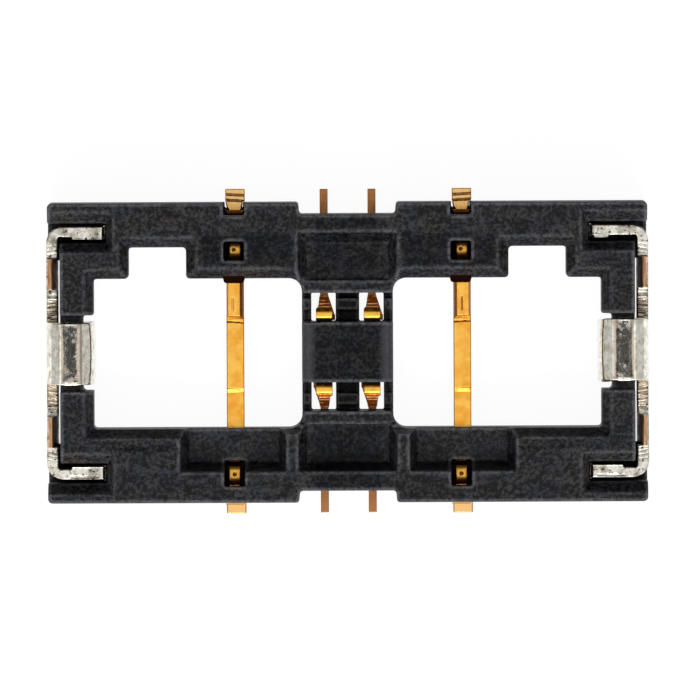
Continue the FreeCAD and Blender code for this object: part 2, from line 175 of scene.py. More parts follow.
flow = add(lcp, "ShaderNodeTexNoise", {
    "Vector": drawn.outputs[0], "Scale": 1.0, "Detail": 4.0, "Roughness": 0.6, "Distortion": 0.8})
cast = add(lcp, "ShaderNodeTexNoise", {
    "Vector": place.outputs["Object"], "Scale": 1 / CAST, "Detail": 2.0})
speckle = add(lcp, "ShaderNodeMath", {
    0: grain.outputs["Fac"], 1: 3.0, 2: flow.outputs["Fac"]}, operation="MULTIPLY_ADD")
spread = add(lcp, "ShaderNodeMapRange", {
    "Value": speckle.outputs[0], "From Min": 1.78, "From Max": 2.44})
cast_part = add(lcp, "ShaderNodeMapRange", {
    "Value": cast.outputs["Fac"], "From Min": 0.42, "From Max": 0.60})
pale = add(lcp, "ShaderNodeMix", {
    "Factor": cast_part.outputs[0], 6: linear(LCP_COLD), 7: linear(LCP_WARM)}, data_type="RGBA")
tone = add(lcp, "ShaderNodeMix", {
    "Factor": spread.outputs[0], 6: linear(LCP_DARK), 7: pale.outputs[2]}, data_type="RGBA")
spot = add(lcp, "ShaderNodeSeparateXYZ", {"Vector": place.outputs["Object"]})
offset = add(lcp, "ShaderNodeMath", {0: spot.outputs["X"]}, operation="ABSOLUTE")
# Painted shade: a darker, bluer colour on the lower middle (but not on the raised ledge) and on the rear
# pads, where the walls round them shade them.
middle = add(lcp, "ShaderNodeMapRange", {
    "Value": offset.outputs[0], "From Min": MIDDLE_SHADE_X, "From Max": MIDDLE_SHADE_X - 0.07 * MM})
pad_near = add(lcp, "ShaderNodeMapRange", {
    "Value": offset.outputs[0], "From Min": PAD_SHADE_X[0], "From Max": PAD_SHADE_X[0] + 0.03 * MM})
pad_far = add(lcp, "ShaderNodeMapRange", {
    "Value": offset.outputs[0], "From Min": PAD_SHADE_X[1], "From Max": PAD_SHADE_X[1] - 0.08 * MM})
pad_front = add(lcp, "ShaderNodeMapRange", {
    "Value": spot.outputs["Y"], "From Min": PAD_SHADE_Y[0], "From Max": PAD_SHADE_Y[0] + 0.03 * MM})
pad_rear = add(lcp, "ShaderNodeMapRange", {
    "Value": spot.outputs["Y"], "From Min": PAD_SHADE_Y[1], "From Max": PAD_SHADE_Y[1] - 0.06 * MM})
pad_length = add(lcp, "ShaderNodeMath", {
    0: pad_near.outputs[0], 1: pad_far.outputs[0]}, operation="MULTIPLY")
pad_width = add(lcp, "ShaderNodeMath", {
    0: pad_front.outputs[0], 1: pad_rear.outputs[0]}, operation="MULTIPLY")
pad = add(lcp, "ShaderNodeMath", {
    0: pad_length.outputs[0], 1: pad_width.outputs[0]}, operation="MULTIPLY")
away = add(lcp, "ShaderNodeMath", {0: spot.outputs["Y"]}, operation="ABSOLUTE")
ledge = add(lcp, "ShaderNodeMath", {
    0: away.outputs[0], 1: LEDGE_Y[0], 2: LEDGE_Y[1]}, operation="COMPARE")
unledged = add(lcp, "ShaderNodeMapRange", {"Value": ledge.outputs[0], "To Min": 1.0, "To Max": 0.0})
middle_only = add(lcp, "ShaderNodeMath", {
    0: middle.outputs[0], 1: unledged.outputs[0]}, operation="MULTIPLY")
sunk_shade = add(lcp, "ShaderNodeMath", {0: middle_only.outputs[0], 1: pad.outputs[0]}, operation="MAXIMUM")
sunk_shade_part = add(lcp, "ShaderNodeMath", {0: sunk_shade.outputs[0], 1: SUNK_SHADE_SHARE}, operation="MULTIPLY")
sunk_shaded = add(lcp, "ShaderNodeMix", {
    "Factor": sunk_shade_part.outputs[0], 6: tone.outputs[2], 7: linear(LCP_SUNK_SHADE)}, data_type="RGBA")
# Painted light: the island's flanks get a lighter colour that stands in for the light they catch.
flank_x = add(lcp, "ShaderNodeMapRange", {
    "Value": offset.outputs[0], "From Min": FLANK_X[0], "From Max": FLANK_X[1]})
flank_y = add(lcp, "ShaderNodeMath", {0: spot.outputs["Y"], 1: 0.0, 2: FLANK_Y}, operation="COMPARE")
flank_side = add(lcp, "ShaderNodeMath", {0: offset.outputs[0], 1: FLANK_X[2]}, operation="LESS_THAN")
flank = add(lcp, "ShaderNodeMath", {0: flank_x.outputs[0], 1: flank_y.outputs[0]}, operation="MULTIPLY")
flank_only = add(lcp, "ShaderNodeMath", {
    0: flank.outputs[0], 1: flank_side.outputs[0]}, operation="MULTIPLY")
flank_light_part = add(lcp, "ShaderNodeMath", {0: flank_only.outputs[0], 1: FLANK_LIGHT_SHARE}, operation="MULTIPLY")
flank_lit = add(lcp, "ShaderNodeMix", {
    "Factor": flank_light_part.outputs[0], 6: sunk_shaded.outputs[2], 7: linear(LCP_FLANK_LIGHT)}, data_type="RGBA")
# Painted highlight: rounded edges, found by ambient occlusion inside the part, get a pale colour that
# stands in for the light they catch, broken up by the speckle.
core = add(lcp, "ShaderNodeAmbientOcclusion", {
    "Distance": EDGE_HIGHLIGHT_DEPTH}, inside=True, only_local=True, samples=6)
edge_highlight = add(lcp, "ShaderNodeMapRange", {
    "Value": core.outputs["AO"], "From Min": 0.95, "From Max": 0.76})
blunt = add(lcp, "ShaderNodeMapRange", {
    "Value": core.outputs["AO"], "From Min": 0.52, "From Max": 0.70, "To Min": 0.30, "To Max": 1.0})
blunt_part = add(lcp, "ShaderNodeMath", {0: edge_highlight.outputs[0], 1: blunt.outputs[0]}, operation="MULTIPLY")
highlight_speckle = add(lcp, "ShaderNodeMapRange", {
    "Value": speckle.outputs[0], "From Min": 1.70, "From Max": 2.20, "To Min": 0.45, "To Max": 1.0})
edge_highlight_part = add(lcp, "ShaderNodeMath", {
    0: blunt_part.outputs[0], 1: highlight_speckle.outputs[0]}, operation="MULTIPLY")
edge_lit = add(lcp, "ShaderNodeMix", {
    "Factor": edge_highlight_part.outputs[0], 6: flank_lit.outputs[2], 7: linear(LCP_EDGE_HIGHLIGHT)}, data_type="RGBA")
# Painted shade: a dark brown without reflection over the collars where the bars go into the wall,
# standing in for the deep shadow there.
collar_shade_x = add(lcp, "ShaderNodeMath", {
    0: offset.outputs[0], 1: POWER_X, 2: COLLAR_SHADE_HALF_X}, operation="COMPARE")
collar_shade_y = add(lcp, "ShaderNodeMath", {
    0: spot.outputs["Y"], 1: COLLAR_SHADE_Y[0], 2: COLLAR_SHADE_Y[1]}, operation="COMPARE")
collar_shade = add(lcp, "ShaderNodeMath", {
    0: collar_shade_x.outputs[0], 1: collar_shade_y.outputs[0]}, operation="MULTIPLY")
collar_shaded = add(lcp, "ShaderNodeMix", {
    "Factor": collar_shade.outputs[0], 6: edge_lit.outputs[2], 7: linear(LCP_COLLAR_SHADE)}, data_type="RGBA")
# Painted shade also lowers the reflection on the shaded middle and pads, and removes it on the collars.
sheen = add(lcp, "ShaderNodeMapRange", {"Value": sunk_shade.outputs[0], "To Min": 0.15, "To Max": 0.09})
outside_collar_shade = add(lcp, "ShaderNodeMapRange", {"Value": collar_shade.outputs[0], "To Min": 1.0, "To Max": 0.0})
shine = add(lcp, "ShaderNodeMath", {0: sheen.outputs[0], 1: outside_collar_shade.outputs[0]}, operation="MULTIPLY")
matt = add(lcp, "ShaderNodeMapRange", {
    "Value": grain.outputs["Fac"], "From Min": 0.3, "From Max": 0.7, "To Min": 0.40, "To Max": 0.60})
relief = add(lcp, "ShaderNodeBump", {
    "Height": speckle.outputs[0], "Strength": 1.0, "Distance": 0.0015 * MM})
lcp_shader = add(lcp, "ShaderNodeBsdfPrincipled", {
    "Base Color": collar_shaded.outputs[2], "Roughness": matt.outputs[0], "Normal": relief.outputs[0],
    "IOR": 1.6, "Specular IOR Level": shine.outputs[0]})
lcp.node_tree.links.new(lcp_shader.outputs[0], lcp_out.inputs[0])

housing_mesh = moulded_mesh("housing", MOULDED_EDGE, RIM_HEIGHT, RIM_PASSES, HOUSING_TRIANGLES)
housing = new_piece("housing_moulding", housing_mesh, lcp)
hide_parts("housing")


# Power contacts: two bars that cross the windows and end in solder feet. Each is stamped from
# copper alloy strip, bent, gold plated and moulded into the housing.
SHEARED_EDGE = 0.012 * MM
POWER_SHIFT = {"left": -0.012, "right": 0.0135}
POWER_SHEET = 0.10 * MM
POWER_HALF_WIDTH = 0.088
POWER_ARCH_HALF_WIDTH = 0.060
POWER_FOOT_HALF_WIDTH = 0.098
FORM_LINES = (
    (1.570, 0.014, 0.010), (1.514, 0.016, 0.009), (0.352, 0.014, 0.010), (0.303, 0.016, 0.009),
    (-0.373, 0.020, 0.010))
PIN_MARKS = (1.029, -1.222)
PIN_RADIUS = 0.020
PIN_DEPTH = 0.018
RIDGE_Y = (0.345, 0.365, 0.86, 0.89)
RIDGE_RISE = 0.03
RIDGE_SHIFT = 0.010
RIDGE_NARROWING = 0.2667
SEAM_Y = (0.40, 0.43, 0.53, 0.57)
SEAM_DEPTH = 0.012


def follow(route, spacing):
    """Stations along a strip's bent middle line, given as (u, v, bend, low edge, high edge) points."""
    corners = []
    for i, (u, v, bend, low, high) in enumerate(route):
        here = Vector((u, v))
        corner = [(here, low, high)]
        if bend and 0 < i < len(route) - 1:
            back = Vector(route[i - 1][:2]) - here
            ahead = Vector(route[i + 1][:2]) - here
            half = back.angle(ahead) / 2
            tangent = min(bend / math.tan(half), 0.49 * back.length, 0.49 * ahead.length)
            radius = tangent * math.tan(half)
            inward = (back.normalized() + ahead.normalized()).normalized()
            centre = here + inward * radius / math.sin(half)
            first = here + back.normalized() * tangent - centre
            turn = math.pi - 2 * half
            if first.x * back.y - first.y * back.x > 0:
                turn = -turn
            steps = max(3, round(abs(turn) / math.radians(7)))
            corner = []
            for k in range(steps + 1):
                angle = turn * k / steps
                arm = Vector((
                    first.x * math.cos(angle) - first.y * math.sin(angle),
                    first.x * math.sin(angle) + first.y * math.cos(angle)))
                corner.append((centre + arm, low, high))
        corners.append(corner)
    stops = []
    for i, corner in enumerate(corners):
        if i:
            start, end = corners[i - 1][-1], corner[0]
            count = max(1, round((end[0] - start[0]).length / spacing))
            for k in range(1, count):
                t = k / count
                stops.append(tuple(a + (b - a) * t for a, b in zip(start, end)))
        stops += corner
    stations = []
    travelled = 0.0
    for i, (spot, low, high) in enumerate(stops):
        run = stops[min(i + 1, len(stops) - 1)][0] - stops[max(i - 1, 0)][0]
        if i:
            travelled += (spot - stops[i - 1][0]).length
        stations.append((spot, Vector((-run.y, run.x)).normalized(), low, high, travelled))
    return stations


def section(half_thickness, low, high, edge, spans):
    """Rounded rectangle as (across the sheet, along its width) points."""
    points = []
    centres = (
        (half_thickness - edge, low + edge), (half_thickness - edge, high - edge),
        (edge - half_thickness, high - edge), (edge - half_thickness, low + edge))
    for k, (a, c) in enumerate(centres):
        for step in range(4):
            angle = math.radians(-90 + 90 * k + 30 * step)
            points.append((a + edge * math.cos(angle), c + edge * math.sin(angle)))
        a_next, c_next = centres[(k + 1) % 4]
        out = Vector((math.cos(math.radians(90 * k)), math.sin(math.radians(90 * k)))) * edge
        for step in range(1, spans[k % 2]):
            t = step / spans[k % 2]
            points.append((a + (a_next - a) * t + out.x, c + (c_next - c) * t + out.y))
    return points


def strip_mesh(name, route, thickness, place, spans, shape, edge=SHEARED_EDGE, spacing=0.012 * MM):
    """Closed mesh of a bent metal strip with rounded edges. shape moves single points of it."""
    stations = follow(route, spacing)
    points = []
    count = 0
    for i, (spot, normal, low, high, travelled) in enumerate(stations):
        inset = 0.7 * edge if i in (0, len(stations) - 1) else 0.0
        ring = section(thickness / 2 - inset, low + inset, high - inset, edge - inset, spans)
        count = len(ring)
        for a, c in ring:
            point = Vector(place(spot.x + normal.x * a, spot.y + normal.y * a, c))
            points.append(shape(point, a, c, travelled))
    faces = []
    for i in range(len(stations) - 1):
        for k in range(count):
            faces.append((
                i * count + k, i * count + (k + 1) % count,
                (i + 1) * count + (k + 1) % count, (i + 1) * count + k))
    last = (len(stations) - 1) * count
    faces.append(tuple(range(count))[::-1])
    faces.append(tuple(range(last, last + count)))
    mesh = bpy.data.meshes.new(name)
    mesh.from_pydata(points, [], faces)
    build = bmesh.new()
    build.from_mesh(mesh)
    bmesh.ops.recalc_face_normals(build, faces=build.faces)
    build.to_mesh(mesh)
    build.free()
    return mesh


def ramp(value, start, end):
    """Smooth step from 0 at start to 1 at end."""
    t = min(max((value - start) / (end - start), 0.0), 1.0)
    return t * t * (3 - 2 * t)


def plateau(value, start, full, fade, end):
    """Smooth rise from start to full, 1 up to fade, and a smooth fall to end."""
    return ramp(value, start, full) * ramp(value, end, fade)


def peak(value, middle, half_width):
    """Straight rise to 1 at the middle and back to 0."""
    return max(0.0, 1 - abs(value - middle) / half_width)


def power_route(shift):
    """Route of a power contact from its rear foot to its front foot, with its bar shifted sideways.
    A row holds y, z, bend radius, half width and the share of the shift, lengths in millimetres."""
    foot, bar, arch = POWER_FOOT_HALF_WIDTH, POWER_HALF_WIDTH, POWER_ARCH_HALF_WIDTH
    rows = [
        (1.624, 0.05, 0.00, foot, 1.0), (1.508, 0.065, 0.00, foot, 1.0),
        (1.500, 0.067, 0.00, 0.086, 0.3), (1.440, 0.077, 0.00, 0.078, 0.5),
        (1.395, 0.085, 0.00, 0.056, 1.0), (1.372, 0.088, 0.00, 0.056, 1.0),
        (1.362, 0.20, 0.03, bar, 1.0), (1.17, 0.22, 0.06, bar, 1.0),
        (1.135, 0.30, 0.00, bar, 1.0), (1.115, 0.345, 0.00, arch, 1.0),
        (1.062, 0.45, 0.05, arch, 1.0), (0.992, 0.45, 0.05, arch, 1.0),
        (0.925, 0.396, 0.00, arch, 1.0), (0.905, 0.39, 0.06, bar, 1.0),
        (-0.375, 0.39, 0.00, bar, 1.0), (-0.381, 0.375, 0.00, bar, 1.0),
        (-1.06, 0.375, 0.00, bar, 1.0), (-1.08, 0.375, 0.00, arch, 0.0),
        (-1.126, 0.375, 0.06, arch, 0.0), (-1.170, 0.45, 0.05, arch, 0.0),
        (-1.276, 0.45, 0.05, arch, 0.0), (-1.400, 0.12, 0.03, 0.060, 0.6),
        (-1.452, 0.10, 0.00, 0.092, 0.3), (-1.490, 0.10, 0.03, 0.093, 0.3),
        (-1.505, 0.062, 0.02, 0.093, 0.3), (-1.515, 0.062, 0.00, foot, 1.3),
        (-1.624, 0.05, 0.00, foot, 1.3)]
    return [
        (y * MM, z * MM, bend * MM, (shift * share - half) * MM, (shift * share + half) * MM)
        for y, z, bend, half, share in rows]


def power_shape(point, a, c, travelled):
    """Raises the narrower ridge near the rear of the window, and presses in its seam, the form lines
    and the pin marks. Only the upper face is worked."""
    if a > -0.02 * MM:
        return point
    share = ramp(-a, 0.02 * MM, 0.045 * MM)
    y = point.y / MM
    slant = 0.06 * c / MM
    for line, depth, half in FORM_LINES:
        point.z -= depth * MM * share * peak(y - line, slant, half)
    for pin in PIN_MARKS:
        point.z -= PIN_DEPTH * MM * share * peak(math.hypot(y - pin, c / MM), 0, PIN_RADIUS)
    ridge = plateau(y, *RIDGE_Y)
    seam = plateau(y, *SEAM_Y) * peak(c / MM, 0.004, 0.009)
    point.z += (RIDGE_RISE * ridge - SEAM_DEPTH * seam) * MM * share
    point.x += (RIDGE_SHIFT * MM - c * RIDGE_NARROWING) * ridge * share
    return point


# Gold plating over rolled copper alloy: deep warm yellow, satin, with faint lines along the strip. Its
# sides and bends are browner and it is dark where the bar enters its holes, both painted shade; the
# feet are glossier, and their paler colour is painted light.
GOLD_BRIGHT = "#ffc45a"
GOLD_DEEP = "#f3a93c"
GOLD_SIDE_SHADE = "#a8621f"
GOLD_FOOT_LIT = "#dcb072"
GOLD_HOLE_SHADE = "#4a2508"
ROLLED_LINES = (0.012 * MM, 0.12 * MM, 0.012 * MM)
FRONT_HOLE_SHADE_Y = (-1.100 * MM, 0.040 * MM)
REAR_NOTCH_SHADE_Y = (1.382 * MM, 0.026 * MM)
gold, gold_out = start_material("gold plating on stamped copper alloy")
place = add(gold, "ShaderNodeTexCoord", {})
stretch = add(gold, "ShaderNodeMapping", {
    "Vector": place.outputs["Object"], "Scale": [1 / size for size in ROLLED_LINES]})
rolling = add(gold, "ShaderNodeTexNoise", {
    "Vector": stretch.outputs[0], "Scale": 1.0, "Detail": 3.0, "Roughness": 0.6})
cloud = add(gold, "ShaderNodeTexNoise", {
    "Vector": place.outputs["Object"], "Scale": 1 / (0.10 * MM), "Detail": 2.0})
warmth = add(gold, "ShaderNodeMapRange", {
    "Value": cloud.outputs["Fac"], "From Min": 0.35, "From Max": 0.65})
tint = add(gold, "ShaderNodeMix", {
    "Factor": warmth.outputs[0], 6: linear(GOLD_BRIGHT), 7: linear(GOLD_DEEP)}, data_type="RGBA")
spot = add(gold, "ShaderNodeSeparateXYZ", {"Vector": place.outputs["Object"]})
outward = add(gold, "ShaderNodeMath", {0: spot.outputs["Y"]}, operation="ABSOLUTE")
# Painted light: the feet get a paler colour that brightens them; they are also glossier.
on_feet = add(gold, "ShaderNodeMapRange", {
    "Value": outward.outputs[0], "From Min": 1.38 * MM, "From Max": 1.48 * MM})
foot_lit = add(gold, "ShaderNodeMix", {
    "Factor": on_feet.outputs[0], 6: tint.outputs[2], 7: linear(GOLD_FOOT_LIT)}, data_type="RGBA")
# Painted shade: faces turned sideways or tilted get a brown that stands in for the dark they reflect.
facing = add(gold, "ShaderNodeNewGeometry", {})
split = add(gold, "ShaderNodeSeparateXYZ", {"Vector": facing.outputs["True Normal"]})
across = add(gold, "ShaderNodeMath", {0: split.outputs["X"]}, operation="ABSOLUTE")
side = add(gold, "ShaderNodeMapRange", {
    "Value": across.outputs[0], "From Min": 0.30, "From Max": 0.65})
slope = add(gold, "ShaderNodeMapRange", {
    "Value": split.outputs["Z"], "From Min": 0.90, "From Max": 0.60})
in_body = add(gold, "ShaderNodeMapRange", {
    "Value": outward.outputs[0], "From Min": 1.39 * MM, "From Max": 1.37 * MM})
bent = add(gold, "ShaderNodeMath", {0: slope.outputs[0], 1: in_body.outputs[0]}, operation="MULTIPLY")
side_and_bend_shade = add(gold, "ShaderNodeMath", {0: side.outputs[0], 1: bent.outputs[0]}, operation="MAXIMUM")
by_facing = add(gold, "ShaderNodeMix", {
    "Factor": side_and_bend_shade.outputs[0], 6: foot_lit.outputs[2], 7: linear(GOLD_SIDE_SHADE)}, data_type="RGBA")
# Painted shade: dark brown where the bar goes into the front pin hole and into the rear notch.
stub = add(gold, "ShaderNodeMath", {
    0: spot.outputs["Y"], 1: FRONT_HOLE_SHADE_Y[0], 2: FRONT_HOLE_SHADE_Y[1]}, operation="COMPARE")
notch = add(gold, "ShaderNodeMath", {
    0: spot.outputs["Y"], 1: REAR_NOTCH_SHADE_Y[0], 2: REAR_NOTCH_SHADE_Y[1]}, operation="COMPARE")
hole_shade = add(gold, "ShaderNodeMath", {0: stub.outputs[0], 1: notch.outputs[0]}, operation="MAXIMUM")
plated = add(gold, "ShaderNodeMix", {
    "Factor": hole_shade.outputs[0], 6: by_facing.outputs[2], 7: linear(GOLD_HOLE_SHADE)}, data_type="RGBA")
satin = add(gold, "ShaderNodeMapRange", {
    "Value": rolling.outputs["Fac"], "From Min": 0.3, "From Max": 0.7, "To Min": 0.34, "To Max": 0.46})
foot_gloss = add(gold, "ShaderNodeMapRange", {"Value": on_feet.outputs[0], "To Min": 1.0, "To Max": 0.55})
gloss = add(gold, "ShaderNodeMath", {0: satin.outputs[0], 1: foot_gloss.outputs[0]}, operation="MULTIPLY")
lines = add(gold, "ShaderNodeBump", {
    "Height": rolling.outputs["Fac"], "Strength": 0.35, "Distance": 0.0015 * MM})
gold_shader = add(gold, "ShaderNodeBsdfPrincipled", {
    "Base Color": plated.outputs[2], "Metallic": 1.0, "Roughness": gloss.outputs[0],
    "Normal": lines.outputs[0]})
gold.node_tree.links.new(gold_shader.outputs[0], gold_out.inputs[0])

for side_name, sign in (("left", -1), ("right", 1)):
    mesh = strip_mesh(
        "power_contact_" + side_name, power_route(POWER_SHIFT[side_name]), POWER_SHEET,
        lambda u, v, w: (POWER_X + w, u, v), (14, 5), power_shape, spacing=0.005 * MM)
    if sign < 0:
        mesh.transform(Matrix.Scale(-1, 4, (1, 0, 0)))
        mesh.flip_normals()
    bar = new_piece("power_bar_" + side_name, mesh, gold)
    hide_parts("power_contact_" + side_name)


# Signal contacts: four small springs beside the island. Each is a gold-plated strip that comes in
# under the wall as a narrow tail, widens to one side, turns up along the island, and folds over into
# a tongue with forming marks across it.
SIGNAL_X = {"left": -0.234 * MM, "right": 0.246 * MM}
SIGNAL_SHEET = 0.06 * MM
TONGUE_STEP = 0.028 * MM
STEP_Y = 0.009 * MM
STEP_Z = 0.016 * MM


def signal_route():
    """Route of a rear signal contact from its tail to the tip of its tongue. A row holds y, z, bend
    radius and the two edges of the strip, in millimetres."""
    rows = [
        (1.624, 0.03, 0.00, -0.0405, 0.0405), (0.5625, 0.03, 0.00, -0.0405, 0.0405),
        (0.3685, 0.03, 0.00, -0.075, 0.104), (0.3385, 0.03, 0.05, -0.075, 0.104),
        (0.3385, 0.115, 0.00, -0.075, 0.110), (0.3385, 0.13, 0.00, -0.0825, 0.0825),
        (0.3385, 0.50, 0.05, -0.0825, 0.0825), (0.3985, 0.50, 0.05, -0.0825, 0.0825),
        (0.4085, 0.478, 0.00, -0.0825, 0.0825), (0.4285, 0.437, 0.00, -0.060, 0.060),
        (0.5350, 0.27, 0.00, -0.046, 0.046)]
    return [(y * MM, z * MM, r * MM, low * MM, high * MM) for y, z, r, low, high in rows]


def signal_shape(point, a, c, travelled):
    """Forming marks across the tongue, as shallow steps in its upper face."""
    if point.y > 0.425 * MM and a > 0 and point.z > 0.25 * MM:
        wave = abs(math.sin(math.pi * travelled / TONGUE_STEP))
        point.z += STEP_Z * (wave - 0.6)
        point.y += STEP_Y * (wave - 0.6)
    return point


# Gold flash on the springs, all painted light: a highlight on the crest, which faces the light above,
# painted shade elsewhere, darkest on the tongue, and highlights painted as lines across its steps.
FLASH_CREST_HIGHLIGHT = "#fdc050"
FLASH_TONGUE_SHADE = "#94480a"
FLASH_ARM_SHADE = "#b47c4c"
FLASH_MARK_HIGHLIGHT = "#ffcf96"
MARK_PITCH = 0.042 * MM
flash, flash_out = start_material("gold flash on spring copper alloy")
place = add(flash, "ShaderNodeTexCoord", {})
spot = add(flash, "ShaderNodeSeparateXYZ", {"Vector": place.outputs["Object"]})
flash_noise = add(flash, "ShaderNodeTexNoise", {
    "Vector": place.outputs["Object"], "Scale": 1 / (0.05 * MM), "Detail": 3.0, "Roughness": 0.6})
height = add(flash, "ShaderNodeMath", {
    0: flash_noise.outputs["Fac"], 1: 0.03 * MM, 2: spot.outputs["Z"]}, operation="MULTIPLY_ADD")
# Painted shade: brown on the low arm, darker brown higher up on the tongue, standing in for dark
# reflections.
low_part = add(flash, "ShaderNodeMapRange", {
    "Value": height.outputs[0], "From Min": 0.16 * MM, "From Max": 0.10 * MM})
# Painted highlight: the highest part of each spring, its crest, is bright.
crest_highlight = add(flash, "ShaderNodeMapRange", {
    "Value": height.outputs[0], "From Min": 0.526 * MM, "From Max": 0.542 * MM})
arm_shade_tint = add(flash, "ShaderNodeMix", {
    "Factor": low_part.outputs[0], 6: linear(FLASH_TONGUE_SHADE), 7: linear(FLASH_ARM_SHADE)}, data_type="RGBA")
# Painted highlight: bright lines across the tongue, standing in for the light caught by its steps.
mark_phase = add(flash, "ShaderNodeMath", {
    0: height.outputs[0], 1: math.tau / MARK_PITCH}, operation="MULTIPLY")
mark_wave = add(flash, "ShaderNodeMath", {0: mark_phase.outputs[0]}, operation="SINE")
mark_highlight = add(flash, "ShaderNodeMapRange", {
    "Value": mark_wave.outputs[0], "From Min": 0.45, "From Max": 0.95})
above_arm = add(flash, "ShaderNodeMapRange", {
    "Value": spot.outputs["Z"], "From Min": 0.20 * MM, "From Max": 0.24 * MM})
mark_highlight_part = add(flash, "ShaderNodeMath", {
    0: mark_highlight.outputs[0], 1: above_arm.outputs[0]}, operation="MULTIPLY")
mark_lit = add(flash, "ShaderNodeMix", {
    "Factor": mark_highlight_part.outputs[0], 6: arm_shade_tint.outputs[2], 7: linear(FLASH_MARK_HIGHLIGHT)}, data_type="RGBA")
spring_tint = add(flash, "ShaderNodeMix", {
    "Factor": crest_highlight.outputs[0], 6: mark_lit.outputs[2], 7: linear(FLASH_CREST_HIGHLIGHT)}, data_type="RGBA")
flash_satin = add(flash, "ShaderNodeMapRange", {
    "Value": flash_noise.outputs["Fac"], "From Min": 0.3, "From Max": 0.7, "To Min": 0.30, "To Max": 0.48})
flash_relief = add(flash, "ShaderNodeBump", {
    "Height": flash_noise.outputs["Fac"], "Strength": 0.5, "Distance": 0.002 * MM})
flash_shader = add(flash, "ShaderNodeBsdfPrincipled", {
    "Base Color": spring_tint.outputs[2], "Metallic": 1.0, "Roughness": flash_satin.outputs[0],
    "Normal": flash_relief.outputs[0]})
flash.node_tree.links.new(flash_shader.outputs[0], flash_out.inputs[0])

for end_name, turn in (("rear", 0), ("front", 180)):
    for side_name, spring_x in SIGNAL_X.items():
        name = end_name + "_" + side_name
        mesh = strip_mesh(
            "signal_contact_" + name, signal_route(), SIGNAL_SHEET,
            lambda u, v, w: (w, u, v), (10, 3), signal_shape, 0.008 * MM, 0.004 * MM)
        spin = Matrix.Rotation(math.radians(turn), 4, "Z")
        mesh.transform(Matrix.Translation((spring_x, 0, 0)) @ spin)
        spring = new_piece("signal_spring_" + name, mesh, flash)
        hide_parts("signal_contact_" + name)


# End brackets: a sheet on edge, bent into a C round each end of the housing, with a tongue of the
# same sheet formed over the end wall. They are stamped copper alloy with tin plating. Each is drawn
# as a rail, which is the C with its short tabs, and a wrap, which is the tongue.
BRACKET_HALF_SHEET = 0.0525
BRACKET_SHEET = 2 * BRACKET_HALF_SHEET * MM
BRACKET_OUTER_X = 3.01
BRACKET_ARM_Y = 1.2125
BRACKET_BEND = 0.1125
BRACKET_MID_X = BRACKET_OUTER_X - BRACKET_HALF_SHEET
WRAP_HALF = 0.31
WRAP_LEG_X = 2.532
WRAP_MID_Z = 0.6925
WRAP_CROWN_X = 2.775
WRAP_BOW = 0.012
WRAP_BULGE = 0.012
TAB = (0.63, 0.95)
TAB_SET_BACK = 0.046
BARBS = {"left": ((2.44, 2.75), (2.42, 2.76)), "right": ((2.47, 2.61), (2.40, 2.75))}
BARB_DEPTH = 0.022
BARB_LIFT = 0.010
CREASE_X = (2.48, 2.52, 2.75, 2.79)
CREASE_DEPTH = 0.020
ARM_TIP_X = (2.450, 2.436)
DENT_DEPTH = 0.16
INNER_CORNER = (2.887, 1.142, 0.06)
CORNER_FILL = 0.012
RIB_HEIGHT = 0.004
RIB_BAND = 0.014
CROSS_LINES_Y = (0.95, 0.97, 1.06, 1.12)
CROSS_LINE_DEPTH = 0.005


def bracket_route():
    """Plan of the right bracket from its rear arm to its front arm. A row holds x, y, bend radius and
    the lower and upper edge, in millimetres."""
    run_x = BRACKET_MID_X
    half = [
        (2.415, BRACKET_ARM_Y, 0, 0.126, 0.56), (2.440, BRACKET_ARM_Y, 0, 0.126, 0.56),
        (2.446, BRACKET_ARM_Y, 0, 0.126, 0.60), (run_x, BRACKET_ARM_Y, BRACKET_BEND, 0.126, 0.60),
        (run_x, 0.955, 0, 0.126, 0.60), (run_x, 0.948, 0, 0.126, 0.62), (run_x, 0.925, 0, 0.126, 0.62),
        (run_x, 0.920, 0, 0.0, 0.62), (run_x, 0.633, 0, 0.0, 0.62), (run_x, 0.627, 0, 0.0, 0.51),
        (run_x, 0.30, 0, 0.0, 0.51)]
    front = [(x, -y, r, low, high) for x, y, r, low, high in half[::-1]]
    return [(x * MM, y * MM, r * MM, low * MM, high * MM) for x, y, r, low, high in half + front]


